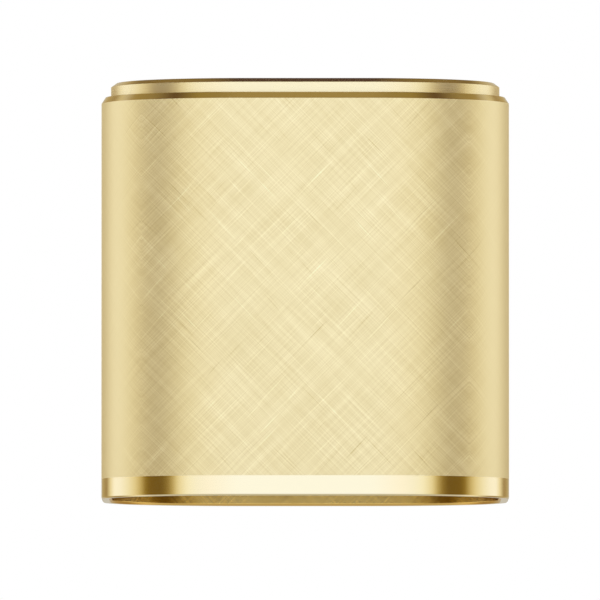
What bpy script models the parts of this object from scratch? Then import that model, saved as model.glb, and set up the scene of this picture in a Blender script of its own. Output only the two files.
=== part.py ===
"""Bench cleaner for soldering tips: a rounded-square brass housing with a cup of brass wool.

Metres, +Z up. The origin is the middle of the bottom rim and the front is -Y.
The housing is a sleeve with a collar on top and a ballast plate below. Four
hexagonal standoffs stand in its corners: their studs hold the collar down, and
four countersunk screws through the plate hold everything together. A round cup
hangs by its flange in the collar's mouth, and the brass wool stands in the cup.
"""
import math

import bmesh
import bpy

MM = 0.001
FIT_GAP = 0.3 * MM                # between two pieces that touch
CUP_SIDE_GAP = 0.5 * MM           # cup wall to the collar's mouth
WOOL_SIDE_GAP = 0.6 * MM          # wool to the cup wall

# Housing, outside
WIDTH = 60.0 * MM                 # flat to flat, both ways
HEIGHT = 61.2 * MM                # rim to the top of the neck
CORNER_RADIUS = 20.4 * MM         # outer corners, seen from above

# Sleeve
RIM_CHAMFER = 0.2 * MM            # outer edge of the bottom rim
RIM_LAND = 0.9 * MM               # flat ring that it stands on
RIM_INNER_CHAMFER = 0.35 * MM
UPPER_WALL = 2.7 * MM             # above the plate
SHOULDER_WIDTH = 0.6 * MM         # chamfer at the sleeve's top edge
SHOULDER_RISE = 0.92 * MM
REGISTER_DEPTH = 1.0 * MM         # rebate that the neck's foot drops into

# Collar
NECK_INSET = 1.4 * MM             # neck side inside the sleeve's side
NECK_RISE = 2.08 * MM             # above the shoulder
NECK_CHAMFER_WIDTH = 0.8 * MM
NECK_CHAMFER_RISE = 0.58 * MM
COLLAR_LAND = 1.8 * MM            # narrowest part of the top face
COLLAR_SEAT = 1.8 * MM            # width of the step that carries the cup
PLUG_DEPTH = 5.2 * MM             # below the neck's foot
POCKET_RADIUS = 4.5 * MM          # fingernail pockets at two corners
POCKET_DEPTH = 2.3 * MM

# Sealing rings
O_RING_SECTION = 1.3 * MM
SEAT_RING_THICKNESS = 0.8 * MM

# Cup
FLANGE_DROP = 0.5 * MM            # flange top below the collar's top
FLANGE_THICKNESS = 1.0 * MM
CUP_WALL = 0.8 * MM
CUP_FOOT_RADIUS = 3.0 * MM
CUP_FOOT_CLEARANCE = 3.0 * MM     # above the ballast plate

# Brass wool
WOOL_DROP = 4.5 * MM              # wool top below the flange top
WOOL_SHOULDER = 2.0 * MM
DIMPLE_MOUTH_RADIUS = 9.0 * MM
DIMPLE_FLOOR_RADIUS = 5.0 * MM
DIMPLE_DEPTH = 9.0 * MM

# Ballast plate, standoffs and screws
PLATE_RECESS = 2.5 * MM           # plate's underside above the rim
PLATE_THICKNESS = 4.0 * MM
STANDOFF_FLATS = 5.0 * MM         # across flats
STANDOFF_CUP_GAP = 0.5 * MM       # post to the cup wall
STUD_RADIUS = 1.5 * MM
STUD_LENGTH = 4.0 * MM
SCREW_LENGTH = 12.0 * MM
SCREW_HEAD_RADIUS = 2.75 * MM
SCREW_HEAD_DROP = 0.1 * MM        # head face inside the plate's face
SOCKET_FLATS = 2.0 * MM
SOCKET_DEPTH = 1.1 * MM
END_CHAMFER = 0.35 * MM

# Facets
CORNER_STEPS = 10                 # on each rounded corner
FLAT_STEPS = 6                    # on each flat side
ROUND_STEPS = 60
SMALL_STEPS = 24                  # a multiple of 6, for the hexagons
SMOOTH_ANGLE = math.radians(30)

# Worked out from the sizes above
HALF = WIDTH / 2
RIM_BORE = HALF - RIM_CHAMFER - RIM_LAND - RIM_INNER_CHAMFER
UPPER_BORE = HALF - UPPER_WALL
NECK_HALF = HALF - NECK_INSET
PLUG_HALF = UPPER_BORE - FIT_GAP
SHOULDER_Z = HEIGHT - NECK_RISE
REGISTER_Z = SHOULDER_Z - REGISTER_DEPTH
NECK_FOOT_Z = REGISTER_Z + FIT_GAP
COLLAR_BOTTOM_Z = NECK_FOOT_Z - PLUG_DEPTH
PLATE_TOP_Z = PLATE_RECESS + PLATE_THICKNESS
LEDGE_Z = PLATE_TOP_Z + FIT_GAP

MOUTH_TOP_RADIUS = NECK_HALF - NECK_CHAMFER_WIDTH - COLLAR_LAND
MOUTH_RADIUS = MOUTH_TOP_RADIUS - COLLAR_SEAT
FLANGE_TOP_Z = HEIGHT - FLANGE_DROP
FLANGE_FOOT_Z = FLANGE_TOP_Z - FLANGE_THICKNESS
SEAT_RING_Z = FLANGE_FOOT_Z - FIT_GAP - SEAT_RING_THICKNESS
SEAT_Z = SEAT_RING_Z - FIT_GAP
FLANGE_RADIUS = MOUTH_TOP_RADIUS - FIT_GAP
CUP_RADIUS = MOUTH_RADIUS - CUP_SIDE_GAP
CUP_BORE = CUP_RADIUS - CUP_WALL
CUP_FOOT_Z = PLATE_TOP_Z + CUP_FOOT_CLEARANCE
CUP_FLOOR_Z = CUP_FOOT_Z + CUP_WALL
WOOL_RADIUS = CUP_BORE - WOOL_SIDE_GAP
WOOL_FOOT_Z = CUP_FLOOR_Z + FIT_GAP
WOOL_TOP_Z = FLANGE_TOP_Z - WOOL_DROP

GROOVE_HEIGHT = O_RING_SECTION + 2 * FIT_GAP
GROOVE_HALF = UPPER_BORE - O_RING_SECTION - 2 * FIT_GAP
GROOVE_Z = (COLLAR_BOTTOM_Z + NECK_FOOT_Z - GROOVE_HEIGHT) / 2

HOLE_RADIUS = STUD_RADIUS + FIT_GAP
STANDOFF_FOOT_Z = LEDGE_Z
STANDOFF_TOP_Z = COLLAR_BOTTOM_Z - FIT_GAP
SCREW_FACE_Z = PLATE_RECESS + SCREW_HEAD_DROP
SCREW_END_Z = SCREW_FACE_Z + SCREW_LENGTH


def corner_radius(half):
    """Corner radius of the outline that is parallel to the outer one at this half width."""
    return CORNER_RADIUS - (HALF - half)


POST_REACH = CUP_RADIUS + STANDOFF_CUP_GAP + STANDOFF_FLATS / math.sqrt(3)
POST_POSITIONS = [
    (POST_REACH * math.cos(angle), POST_REACH * math.sin(angle))
    for angle in (math.radians(225 + 90 * i) for i in range(4))
]


def square_ring(half, z):
    """Rounded square at height z: four arcs with straight runs between them."""
    radius = corner_radius(half)
    middle = half - radius
    points = []
    for corner in range(4):
        turn = corner * math.pi / 2
        centre_x = middle * (math.cos(turn) - math.sin(turn))
        centre_y = middle * (math.sin(turn) + math.cos(turn))
        for step in range(CORNER_STEPS + 1):
            angle = turn + math.pi / 2 * step / CORNER_STEPS
            x = centre_x + radius * math.cos(angle)
            y = centre_y + radius * math.sin(angle)
            points.append((x, y, z))
        for step in range(1, FLAT_STEPS):
            along = 2 * middle * step / FLAT_STEPS
            points.append((x - along * math.cos(turn), y - along * math.sin(turn), z))
    return points


def matching_circle(radius, z):
    """Circle whose points lie at the same bearings as the rounded square's."""
    bearings = [math.atan2(y, x) for x, y, _ in square_ring(HALF, z)]
    return [(radius * math.cos(a), radius * math.sin(a), z) for a in bearings]


def circle(radius, z, steps=ROUND_STEPS):
    """Circle at height z."""
    angles = [2 * math.pi * i / steps for i in range(steps)]
    return [(radius * math.cos(a), radius * math.sin(a), z) for a in angles]


def hexagon(flats, z, steps=SMALL_STEPS):
    """Hexagon at height z, with extra points along its sides to pair with a circle."""
    points = []
    for i in range(steps):
        angle = 2 * math.pi * i / steps
        off_flat = (angle + math.pi / 6) % (math.pi / 3) - math.pi / 6
        radius = flats / 2 / math.cos(off_flat)
        points.append((radius * math.cos(angle), radius * math.sin(angle), z))
    return points


def fillet(centre_r, centre_z, radius, start, end, steps):
    """Radii and heights along an arc in the turned profile, angles in degrees."""
    angles = [math.radians(start + (end - start) * i / steps) for i in range(steps + 1)]
    return [(centre_r + radius * math.cos(a), centre_z + radius * math.sin(a)) for a in angles]


def mesh_from_rings(name, rings, looped):
    """Skin between successive rings: looped joins last to first, else both ends are capped."""
    shape = bmesh.new()
    loops = [[shape.verts.new(point) for point in ring] for ring in rings]
    pairs = list(zip(loops, loops[1:]))
    if looped:
        pairs.append((loops[-1], loops[0]))
    else:
        shape.faces.new(loops[0])
        shape.faces.new(loops[-1])
    for low, high in pairs:
        count = len(low)
        for i in range(count):
            following = (i + 1) % count
            shape.faces.new((low[i], low[following], high[following], high[i]))
    bmesh.ops.recalc_face_normals(shape, faces=shape.faces)
    mesh = bpy.data.meshes.new(name)
    shape.to_mesh(mesh)
    shape.free()
    return mesh


def material(name, colour, roughness, metallic):
    """Principled material with its own colour and finish."""
    made = bpy.data.materials.new(name)
    made.use_nodes = True
    shader = made.node_tree.nodes["Principled BSDF"]
    shader.inputs["Base Color"].default_value = (*colour, 1.0)
    shader.inputs["Roughness"].default_value = roughness
    shader.inputs["Metallic"].default_value = metallic
    made.diffuse_color = (*colour, 1.0)
    return made


def place(name, mesh, finish, location=(0, 0, 0)):
    """Object with its material, shaded smooth except at real edges."""
    piece = bpy.data.objects.new(name, mesh)
    piece.location = location
    bpy.context.scene.collection.objects.link(piece)
    if not mesh.materials:
        mesh.materials.append(finish)
    mesh.shade_smooth()
    mesh.set_sharp_from_angle(angle=SMOOTH_ANGLE)
    return piece


def cut(piece, name, mesh, location=(0, 0, 0)):
    """Take a hidden cutter's shape out of a piece."""
    cutter = bpy.data.objects.new(name, mesh)
    cutter.location = location
    cutter.hide_render = True
    cutter.display_type = "WIRE"
    bpy.context.scene.collection.objects.link(cutter)
    boolean = piece.modifiers.new(name, "BOOLEAN")
    boolean.operation = "DIFFERENCE"
    boolean.solver = "EXACT"
    boolean.object = cutter


def make_sleeve(finish):
    """Rounded-square tube: chamfered shoulder, register for the neck, ledge over the plate."""
    profile = [
        (HALF - RIM_CHAMFER, 0),
        (HALF, RIM_CHAMFER),
        (HALF, SHOULDER_Z - SHOULDER_RISE),
        (HALF - SHOULDER_WIDTH, SHOULDER_Z),
        (NECK_HALF + FIT_GAP, SHOULDER_Z),
        (NECK_HALF + FIT_GAP, REGISTER_Z),
        (UPPER_BORE, REGISTER_Z),
        (UPPER_BORE, LEDGE_Z),
        (RIM_BORE, LEDGE_Z),
        (RIM_BORE, RIM_INNER_CHAMFER),
        (RIM_BORE + RIM_INNER_CHAMFER, 0),
    ]
    rings = [square_ring(half, z) for half, z in profile]
    place("outer_sleeve", mesh_from_rings("outer_sleeve", rings, True), finish)


def make_collar(finish):
    """Neck with a plug below it, round stepped mouth, groove, stud holes and nail pockets."""
    outside = [
        (PLUG_HALF, COLLAR_BOTTOM_Z),
        (PLUG_HALF, GROOVE_Z),
        (GROOVE_HALF, GROOVE_Z),
        (GROOVE_HALF, GROOVE_Z + GROOVE_HEIGHT),
        (PLUG_HALF, GROOVE_Z + GROOVE_HEIGHT),
        (PLUG_HALF, NECK_FOOT_Z),
        (NECK_HALF, NECK_FOOT_Z),
        (NECK_HALF, HEIGHT - NECK_CHAMFER_RISE),
        (NECK_HALF - NECK_CHAMFER_WIDTH, HEIGHT),
    ]
    inside = [
        (MOUTH_TOP_RADIUS, HEIGHT),
        (MOUTH_TOP_RADIUS, SEAT_Z),
        (MOUTH_RADIUS, SEAT_Z),
        (MOUTH_RADIUS, COLLAR_BOTTOM_Z),
    ]
    rings = [square_ring(half, z) for half, z in outside]
    rings += [matching_circle(radius, z) for radius, z in inside]
    collar = place("top_collar", mesh_from_rings("top_collar", rings, True), finish)
    hole = [
        circle(HOLE_RADIUS, -STUD_LENGTH, SMALL_STEPS),
        circle(HOLE_RADIUS, STUD_LENGTH, SMALL_STEPS),
    ]
    hole_mesh = mesh_from_rings("stud_hole", hole, False)
    for i, (x, y) in enumerate(POST_POSITIONS, 1):
        cut(collar, f"stud_hole_{i}", hole_mesh, (x, y, COLLAR_BOTTOM_Z))
    pocket = [
        circle(POCKET_RADIUS, -POCKET_DEPTH, SMALL_STEPS),
        circle(POCKET_RADIUS, POCKET_DEPTH, SMALL_STEPS),
    ]
    pocket_mesh = mesh_from_rings("nail_pocket", pocket, False)
    diagonal = MOUTH_TOP_RADIUS / math.sqrt(2)
    for i, side in enumerate((1, -1), 1):
        cut(collar, f"nail_pocket_{i}", pocket_mesh, (side * diagonal, side * diagonal, HEIGHT))


def make_o_ring(finish):
    """Round-section ring in the plug's groove, following the rounded square."""
    section = O_RING_SECTION / 2
    middle_half = UPPER_BORE - FIT_GAP - section
    middle_z = GROOVE_Z + GROOVE_HEIGHT / 2
    profile = fillet(middle_half, middle_z, section, 0, 300, 5)
    rings = [square_ring(half, z) for half, z in profile]
    place("collar_o_ring", mesh_from_rings("collar_o_ring", rings, True), finish)


def make_seat_ring(finish):
    """Flat ring on the collar's step, under the cup's flange."""
    top = SEAT_RING_Z + SEAT_RING_THICKNESS
    inner = MOUTH_RADIUS + FIT_GAP
    profile = [(inner, SEAT_RING_Z), (FLANGE_RADIUS, SEAT_RING_Z), (FLANGE_RADIUS, top), (inner, top)]
    rings = [circle(radius, z) for radius, z in profile]
    place("cup_seat_ring", mesh_from_rings("cup_seat_ring", rings, True), finish)


def make_cup(finish):
    """Deep round cup with a filleted foot and a flat flange."""
    inner_fillet = CUP_FOOT_RADIUS - CUP_WALL
    foot_middle = CUP_RADIUS - CUP_FOOT_RADIUS
    fillet_z = CUP_FOOT_Z + CUP_FOOT_RADIUS
    profile = fillet(foot_middle, fillet_z, CUP_FOOT_RADIUS, -90, 0, 4)
    profile += [
        (CUP_RADIUS, FLANGE_FOOT_Z),
        (FLANGE_RADIUS, FLANGE_FOOT_Z),
        (FLANGE_RADIUS, FLANGE_TOP_Z - END_CHAMFER),
        (FLANGE_RADIUS - END_CHAMFER, FLANGE_TOP_Z),
        (CUP_BORE + END_CHAMFER, FLANGE_TOP_Z),
        (CUP_BORE, FLANGE_TOP_Z - END_CHAMFER),
    ]
    profile += fillet(foot_middle, fillet_z, inner_fillet, 0, -90, 3)
    rings = [circle(radius, z) for radius, z in profile]
    place("inner_cup", mesh_from_rings("inner_cup", rings, False), finish)


def make_wool(finish):
    """Plain puck for the coiled wool, with the dimple that tips are pushed into."""
    dimple_floor_z = WOOL_TOP_Z - DIMPLE_DEPTH
    profile = [
        (WOOL_RADIUS - WOOL_SHOULDER, WOOL_FOOT_Z),
        (WOOL_RADIUS, WOOL_FOOT_Z + WOOL_SHOULDER),
        (WOOL_RADIUS, WOOL_TOP_Z - WOOL_SHOULDER),
        (WOOL_RADIUS - WOOL_SHOULDER, WOOL_TOP_Z),
        (DIMPLE_MOUTH_RADIUS, WOOL_TOP_Z),
        (DIMPLE_FLOOR_RADIUS, dimple_floor_z),
    ]
    rings = [circle(radius, z) for radius, z in profile]
    place("brass_wool", mesh_from_rings("brass_wool", rings, False), finish)


def make_plate(finish):
    """Ballast plate inside the rim, with four countersunk holes."""
    half = RIM_BORE - FIT_GAP
    rings = [square_ring(half, PLATE_RECESS), square_ring(half, PLATE_TOP_Z)]
    plate = place("base_plate", mesh_from_rings("base_plate", rings, False), finish)
    head_gap = FIT_GAP * math.sqrt(2)
    wide = SCREW_HEAD_RADIUS + SCREW_HEAD_DROP + head_gap
    cone_rise = wide - HOLE_RADIUS
    hole = [
        circle(wide + MM, -MM, SMALL_STEPS),
        circle(HOLE_RADIUS, cone_rise, SMALL_STEPS),
        circle(HOLE_RADIUS, PLATE_THICKNESS + MM, SMALL_STEPS),
    ]
    hole_mesh = mesh_from_rings("screw_hole", hole, False)
    for i, (x, y) in enumerate(POST_POSITIONS, 1):
        cut(plate, f"screw_hole_{i}", hole_mesh, (x, y, PLATE_RECESS))


def make_standoffs(finish):
    """Four hexagonal posts: blind bore below for the screw, stud above for the collar."""
    height = STANDOFF_TOP_Z - STANDOFF_FOOT_Z
    bore_end = SCREW_END_Z + FIT_GAP - STANDOFF_FOOT_Z
    rings = [
        circle(HOLE_RADIUS, bore_end, SMALL_STEPS),
        circle(HOLE_RADIUS, 0, SMALL_STEPS),
        hexagon(STANDOFF_FLATS, 0),
        hexagon(STANDOFF_FLATS, height),
        circle(STUD_RADIUS, height, SMALL_STEPS),
        circle(STUD_RADIUS, height + STUD_LENGTH - END_CHAMFER, SMALL_STEPS),
        circle(STUD_RADIUS - END_CHAMFER, height + STUD_LENGTH, SMALL_STEPS),
    ]
    mesh = mesh_from_rings("standoff", rings, False)
    for i, (x, y) in enumerate(POST_POSITIONS, 1):
        place(f"standoff_{i}", mesh, finish, (x, y, STANDOFF_FOOT_Z))


def make_screws(finish):
    """Four countersunk screws with hexagonal sockets, heads down."""
    head_rise = SCREW_HEAD_RADIUS - STUD_RADIUS
    rings = [
        hexagon(SOCKET_FLATS, SOCKET_DEPTH),
        hexagon(SOCKET_FLATS, 0),
        circle(SCREW_HEAD_RADIUS, 0, SMALL_STEPS),
        circle(STUD_RADIUS, head_rise, SMALL_STEPS),
        circle(STUD_RADIUS, SCREW_LENGTH - END_CHAMFER, SMALL_STEPS),
        circle(STUD_RADIUS - END_CHAMFER, SCREW_LENGTH, SMALL_STEPS),
    ]
    mesh = mesh_from_rings("base_screw", rings, False)
    for i, (x, y) in enumerate(POST_POSITIONS, 1):
        place(f"base_screw_{i}", mesh, finish, (x, y, SCREW_FACE_Z))


def main():
    """Clear the scene and build every piece."""
    for old in list(bpy.data.objects):
        bpy.data.objects.remove(old, do_unlink=True)
    make_sleeve(material("hatched_brass", (0.80, 0.63, 0.28), 0.32, 1.0))
    make_collar(material("satin_brass", (0.82, 0.66, 0.32), 0.25, 1.0))
    make_o_ring(material("black_rubber", (0.03, 0.03, 0.03), 0.7, 0.0))
    make_seat_ring(material("grey_silicone", (0.25, 0.25, 0.26), 0.6, 0.0))
    make_cup(material("drawn_brass", (0.78, 0.60, 0.27), 0.28, 1.0))
    make_wool(material("wool_brass", (0.83, 0.62, 0.22), 0.3, 1.0))
    make_plate(material("blackened_steel", (0.10, 0.10, 0.11), 0.45, 1.0))
    make_standoffs(material("turned_brass", (0.74, 0.57, 0.26), 0.3, 1.0))
    make_screws(material("screw_steel", (0.35, 0.35, 0.36), 0.35, 1.0))


main()
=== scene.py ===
"""Looks of the bench tip cleaner: a rounded-square brass housing with a cup of brass wool.

Metres, +Z up, in the CAD frame. Every new piece is a surface worked out on a grid: an
outline (reach, height) carried round a rounded square or a circle, or, for the wool, a
flat ribbon carried along a curl.
"""

import math

import bpy
import numpy as np
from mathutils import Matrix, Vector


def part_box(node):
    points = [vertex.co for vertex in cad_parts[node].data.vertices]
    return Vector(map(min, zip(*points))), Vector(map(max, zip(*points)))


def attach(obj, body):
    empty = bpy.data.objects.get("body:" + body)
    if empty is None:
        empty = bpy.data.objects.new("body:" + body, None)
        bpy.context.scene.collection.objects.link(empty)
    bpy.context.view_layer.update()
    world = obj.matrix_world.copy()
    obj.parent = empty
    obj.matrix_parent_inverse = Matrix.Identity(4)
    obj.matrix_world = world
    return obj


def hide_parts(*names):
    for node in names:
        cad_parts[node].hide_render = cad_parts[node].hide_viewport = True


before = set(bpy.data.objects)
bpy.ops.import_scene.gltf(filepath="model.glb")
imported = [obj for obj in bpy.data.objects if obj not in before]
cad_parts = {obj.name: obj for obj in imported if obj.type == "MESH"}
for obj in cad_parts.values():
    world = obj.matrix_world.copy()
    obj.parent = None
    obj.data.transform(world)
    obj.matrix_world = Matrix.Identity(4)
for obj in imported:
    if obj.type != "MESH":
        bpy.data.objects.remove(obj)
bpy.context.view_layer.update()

MM = 0.001
TAU = 2 * math.pi

# Read from the CAD solids
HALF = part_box("outer_sleeve")[1].x
SHOULDER_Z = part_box("outer_sleeve")[1].z
NECK_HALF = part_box("top_collar")[1].x
COLLAR_LOW, COLLAR_TOP = (corner.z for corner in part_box("top_collar"))
PLATE_LOW, PLATE_TOP = (corner.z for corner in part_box("base_plate"))
PLATE_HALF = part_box("base_plate")[1].x
RING_LOW, RING_TOP = (corner.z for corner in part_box("cup_seat_ring"))
FLANGE_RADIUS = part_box("inner_cup")[1].x
CUP_LOW, CUP_TOP = (corner.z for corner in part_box("inner_cup"))
WOOL_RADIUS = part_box("brass_wool")[1].x
WOOL_LOW, WOOL_TOP = (corner.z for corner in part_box("brass_wool"))
POST_LOW, POST_HIGH = (corner.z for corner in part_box("standoff_1"))
SCREW_LOW, SCREW_HIGH = (corner.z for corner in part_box("base_screw_1"))


def middle_of(node):
    """Middle of a CAD node, seen from above."""
    low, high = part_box(node)
    return (low.x + high.x) / 2, (low.y + high.y) / 2


POSTS = [middle_of(f"standoff_{i}") for i in range(1, 5)]

# The design's own sizes
FIT_GAP = 0.3 * MM
CORNER_RADIUS = 20.4 * MM
RIM_CHAMFER = 0.2 * MM
RIM_BORE = PLATE_HALF + FIT_GAP
RIM_INNER_CHAMFER = 0.35 * MM
BAND_TOP = 2.93 * MM              # the polished band at the foot
UPPER_BORE = HALF - 2.7 * MM
SHOULDER_WIDTH = 0.6 * MM
SHOULDER_RISE = 0.92 * MM
REGISTER_Z = SHOULDER_Z - 1.0 * MM
NECK_CHAMFER_WIDTH = 0.8 * MM
NECK_CHAMFER_RISE = 0.58 * MM
PLUG_HALF = UPPER_BORE - FIT_GAP
MOUTH_TOP_RADIUS = FLANGE_RADIUS + FIT_GAP
MOUTH_RADIUS = MOUTH_TOP_RADIUS - 1.8 * MM
SEAT_Z = RING_LOW - FIT_GAP
GROOVE_HALF = PLUG_HALF - 1.6 * MM
GROOVE_HEIGHT = 1.9 * MM
GROOVE_Z = (COLLAR_LOW + REGISTER_Z + FIT_GAP - GROOVE_HEIGHT) / 2
O_RING_RADIUS = 0.65 * MM
POCKET_RADIUS = 4.5 * MM
POCKET_DEPTH = 2.3 * MM
FLANGE_THICKNESS = 1.0 * MM
CUP_RADIUS = MOUTH_RADIUS - 0.5 * MM
CUP_WALL = 0.8 * MM
CUP_FOOT_RADIUS = 3.0 * MM
STUD_RADIUS = 1.5 * MM
STUD_LENGTH = 4.0 * MM
HOLE_RADIUS = STUD_RADIUS + FIT_GAP
HEX_FLATS = 5.0 * MM
HEAD_RADIUS = 2.75 * MM
COUNTERSINK_RADIUS = 3.35 * MM
SOCKET_FLATS = 2.0 * MM
SOCKET_DEPTH = 1.1 * MM
THREAD_PITCH = 0.5 * MM
THREAD_DEPTH = 0.25 * MM
DIMPLE_RADIUS = 9.0 * MM
DIMPLE_DEPTH = 9.0 * MM

SOFT_EDGE = 0.09 * MM             # broken machined edges
SUPPORT = 0.03 * MM               # extra rows that keep the flats flat
CORNER_STEPS = 36
FLAT_STEPS = 8
ROUND_STEPS = 144
SMALL_STEPS = 48

SPINE = HALF - CORNER_RADIUS      # corner centres of every parallel outline
SIDE_LENGTH = 2 * SPINE + CORNER_RADIUS * math.pi / 2


# ---------------------------------------------------------------- outlines

def soften(corners, closed=False, steps=4):
    """Outline with rounded corners: each (reach, height, radius) becomes an arc tangent to
    both its sides, with one extra point a little further along each side. A corner without
    a radius has the usual soft edge."""
    count = len(corners)
    points = []
    for i, corner in enumerate(corners):
        here = np.array(corner[:2])
        radius = corner[2] if len(corner) == 3 else SOFT_EDGE
        if radius == 0 or (not closed and i in (0, count - 1)):
            points.append(here)
            continue
        before = np.array(corners[i - 1][:2]) - here
        after = np.array(corners[(i + 1) % count][:2]) - here
        room = min(np.linalg.norm(before), np.linalg.norm(after))
        before, after = before / np.linalg.norm(before), after / np.linalg.norm(after)
        half_angle = math.acos(np.clip(before @ after, -1, 1)) / 2
        tangent = min(radius / math.tan(half_angle), 0.45 * room)
        radius = tangent * math.tan(half_angle)
        middle = (before + after) / np.linalg.norm(before + after)
        centre = here + middle * radius / math.sin(half_angle)
        start = here + before * tangent - centre
        end = here + after * tangent - centre
        turn = math.atan2(start[0] * end[1] - start[1] * end[0], start @ end)
        support = min(SUPPORT, 0.05 * (room - tangent))
        points.append(here + before * (tangent + support))
        for step in range(steps + 1):
            angle = turn * step / steps
            cosine, sine = math.cos(angle), math.sin(angle)
            swung = [cosine * start[0] - sine * start[1], sine * start[0] + cosine * start[1]]
            points.append(centre + swung)
        points.append(here + after * (tangent + support))
    return np.array(points)


def path_at(travelled):
    """Spine points and outward directions at distances travelled round the outer face,
    anticlockwise: a flat slides along the spine, then a corner turns about its end."""
    corner, along = np.divmod(travelled, SIDE_LENGTH)
    flat = np.minimum(along, 2 * SPINE)
    base = (corner + 1) * math.pi / 2
    bearing = base + (along - flat) / CORNER_RADIUS
    outward = np.stack([np.cos(bearing), np.sin(bearing)], axis=1)
    ahead = np.stack([-np.sin(base), np.cos(base)], axis=1)
    out = np.stack([np.cos(base), np.sin(base)], axis=1)
    return SPINE * (out - ahead) + ahead * flat[:, None], outward


def plain_columns():
    """Distances of the columns of a plain rounded square, fine on the corners."""
    flat = np.linspace(0, 2 * SPINE, FLAT_STEPS, endpoint=False)
    corner = np.linspace(2 * SPINE, SIDE_LENGTH, CORNER_STEPS, endpoint=False)
    side = np.concatenate([flat, corner])
    return np.concatenate([side + SIDE_LENGTH * i for i in range(4)])


def square_rows(outline, travelled):
    """Rows of a rounded-square tube: spine point + (reach - spine) x outward direction."""
    spine, outward = path_at(travelled)
    reach = (outline[:, 0] - SPINE)[:, None, None]
    return at_heights(spine[None] + reach * outward[None], outline[:, 1])


def at_heights(flat, heights):
    """Rows of (x, y) points given their heights."""
    height = np.broadcast_to(heights[:, None, None], flat.shape[:2] + (1,))
    return np.concatenate([flat, height], axis=2)


def round_angles(count):
    """Even angles round a full turn."""
    return np.arange(count) * TAU / count


def round_rows(outline, steps=ROUND_STEPS, centre=(0, 0)):
    """Rows of a turned shape: radius x (cos, sin) round its centre, at each height."""
    angles = round_angles(steps)
    circle = np.stack([np.cos(angles), np.sin(angles)], axis=1)
    return at_heights(outline[:, 0][:, None, None] * circle[None] + np.array(centre), outline[:, 1])


def hexagon_reach(flats, angles, rounding=0.06):
    """Reach of a hexagon with slightly rounded corners at each angle."""
    off_flat = (angles + math.pi / 6) % (math.pi / 3) - math.pi / 6
    sharp = flats / 2 / np.cos(off_flat)
    return np.minimum(sharp, flats / 2 / math.cos(math.pi / 6) * (1 - rounding))


# ---------------------------------------------------------------- meshes

def grid_faces(rows, columns, wrap_rows):
    """Quads between neighbouring rows, the columns always closed on themselves."""
    row = np.arange(rows if wrap_rows else rows - 1)[:, None]
    column = np.arange(columns)[None]
    up, along = (row + 1) % rows, (column + 1) % columns
    corners = [row * columns + column, row * columns + along, up * columns + along, up * columns + column]
    return np.stack([np.broadcast_to(c, (len(row), columns)) for c in corners], axis=2).reshape(-1, 4)


def skin(name, rows, closed=False, travelled=None, along=None):
    """Mesh over a grid of rows. A closed one joins last row to first, and another is
    capped at both ends by fans from a middle point. The UV map holds the distance round
    and the distance along the outline, in metres."""
    count, columns = rows.shape[:2]
    vertices = rows.reshape(-1, 3)
    quads = grid_faces(count, columns, closed)
    faces = quads.tolist()
    if travelled is None:
        centre = rows.mean((0, 1))[:2]
        mean_radius = np.linalg.norm(rows[..., :2] - centre, axis=2).mean()
        travelled = np.arange(columns + 1) * TAU * mean_radius / columns
    if along is None:
        along = np.concatenate([[0], np.cumsum(np.linalg.norm(np.diff(rows[:, 0], axis=0), axis=1))])
    row, column = quads[:, 0] // columns, quads[:, 0] % columns
    upper = np.append(along, along[-1] + SUPPORT)[row + 1]
    left, right = travelled[column], travelled[column + 1]
    u = np.stack([left, right, right, left], axis=1)
    v = np.stack([along[row], along[row], upper, upper], axis=1)
    uv = [np.stack([u, v], axis=2).reshape(-1, 2)]
    if not closed:
        vertices = np.concatenate([vertices, [rows[0].mean(0), rows[-1].mean(0)]])
        around = np.arange(columns)
        following = (around + 1) % columns
        base = (count - 1) * columns
        low = np.stack([np.full(columns, count * columns), following, around], axis=1)
        high = np.stack([np.full(columns, count * columns + 1), base + around, base + following], axis=1)
        for fan in (low, high):
            faces += fan.tolist()
            uv.append(vertices[fan.ravel(), :2])
    mesh = bpy.data.meshes.new(name)
    mesh.from_pydata(vertices.tolist(), [], faces)
    layer = mesh.uv_layers.new(name="surface")
    layer.data.foreach_set("uv", np.concatenate(uv).astype(np.float32).ravel())
    outward_first(mesh)
    return mesh


def outward_first(mesh):
    """Turn the faces round if the mesh's signed volume is negative."""
    mesh.calc_loop_triangles()
    triangles = np.empty(len(mesh.loop_triangles) * 3, np.int32)
    mesh.loop_triangles.foreach_get("vertices", triangles)
    points = np.empty(len(mesh.vertices) * 3, np.float32)
    mesh.vertices.foreach_get("co", points)
    a, b, c = (points.reshape(-1, 3)[triangles.reshape(-1, 3)[:, i]].astype(float) for i in range(3))
    if np.einsum("ij,ij->i", a, np.cross(b, c)).sum() < 0:
        mesh.flip_normals()


def place(name, data):
    """Object at the origin of the scene."""
    placed = bpy.data.objects.new(name, data)
    bpy.context.scene.collection.objects.link(placed)
    return placed


def carve(mesh, cutters):
    """Take the cutters' shapes out of a mesh, and give back the carved mesh."""
    blank = place("blank", mesh)
    tools = []
    for i, cutter_mesh in enumerate(cutters):
        tool = place(f"cutter_{i}", cutter_mesh)
        boolean = blank.modifiers.new(f"cut_{i}", "BOOLEAN")
        boolean.operation = "DIFFERENCE"
        boolean.object = tool
        tools.append(tool)
    scene_state = bpy.context.evaluated_depsgraph_get()
    carved = bpy.data.meshes.new_from_object(blank.evaluated_get(scene_state))
    carved.name = mesh.name
    for made in [blank] + tools:
        bpy.data.objects.remove(made)
    return carved


def add_piece(name, mesh, body, materials, replaces=(), sharp=None):
    """Object at the origin with its materials, riding on a body, in place of CAD nodes.
    Shaded smooth, but for edges sharper than the angle given in degrees."""
    dress(mesh, materials)
    mesh.shade_smooth()
    if sharp:
        mesh.set_sharp_from_angle(angle=math.radians(sharp))
    piece = place(name, mesh)
    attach(piece, body)
    if replaces:
        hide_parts(*replaces)
    return piece


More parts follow.
